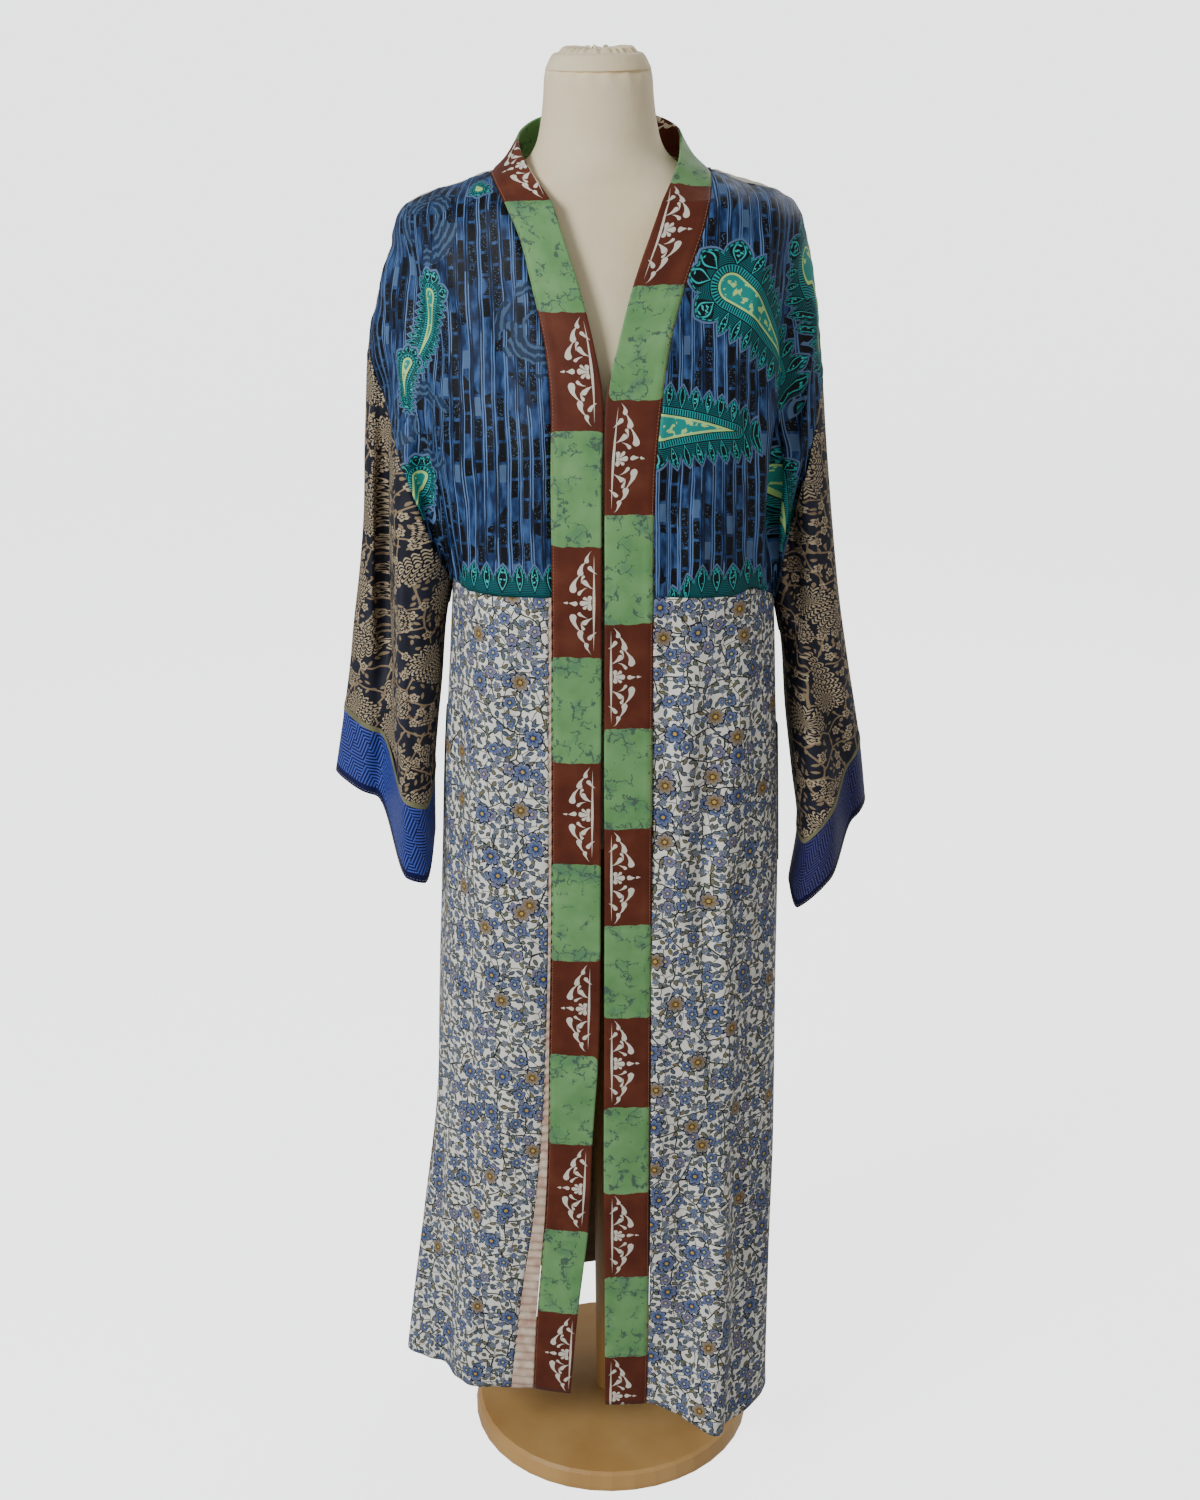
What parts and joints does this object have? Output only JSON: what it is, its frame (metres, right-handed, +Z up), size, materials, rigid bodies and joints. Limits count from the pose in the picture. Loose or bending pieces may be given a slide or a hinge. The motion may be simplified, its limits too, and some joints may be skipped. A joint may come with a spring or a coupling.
{
  "type": "kimono robe on a limbless dress form with a wooden stand",
  "caption": "Long open-front patchwork kimono robe of printed silks with a neck band and wide sleeves, worn by a limbless dress form on a pole and round base",
  "frame": {"origin": "middle of the round base's underside, on the floor", "axes": "+Z up, the robe's open front faces -Y, +X is the wearer's left"},
  "size_m": [0.568, 0.3362, 1.5423],
  "materials": {
    "blue_print": "printed silk satin, slight sheen",
    "cream_silk": "plain silk, soft",
    "floral_print": "printed silk crepe, soft sheen",
    "ochre_print": "printed silk, soft sheen",
    "sleeve_print": "printed silk crepe",
    "cuff_herringbone": "woven herringbone silk, slight sheen",
    "khaki_piping": "plain silk",
    "band_print": "printed silk, matt",
    "teal_silk": "printed silk",
    "satin": "satin, glossy",
    "form_jersey": "cotton jersey, matt",
    "beech": "clear satin lacquer"
  },
  "bodies": {
    "root": {"left_front_upper": "blue_print", "left_sleeve": "sleeve_print", "left_cuff": "cuff_herringbone", "left_cuff_piping": "khaki_piping", "left_front_skirt": "floral_print", "left_pocket": "teal_silk", "neck_band_left": "band_print", "right_front_upper": "blue_print", "right_sleeve": "sleeve_print", "right_cuff": "cuff_herringbone", "right_cuff_piping": "khaki_piping", "right_front_skirt": "floral_print", "right_pocket": "teal_silk", "neck_band_right": "band_print", "back_upper": "cream_silk", "back_skirt": "ochre_print", "satin_strip": "satin", "dress_form": "form_jersey", "neck_cap": "form_jersey", "pole": "beech", "base": "beech"}
  },
  "joints": []
}
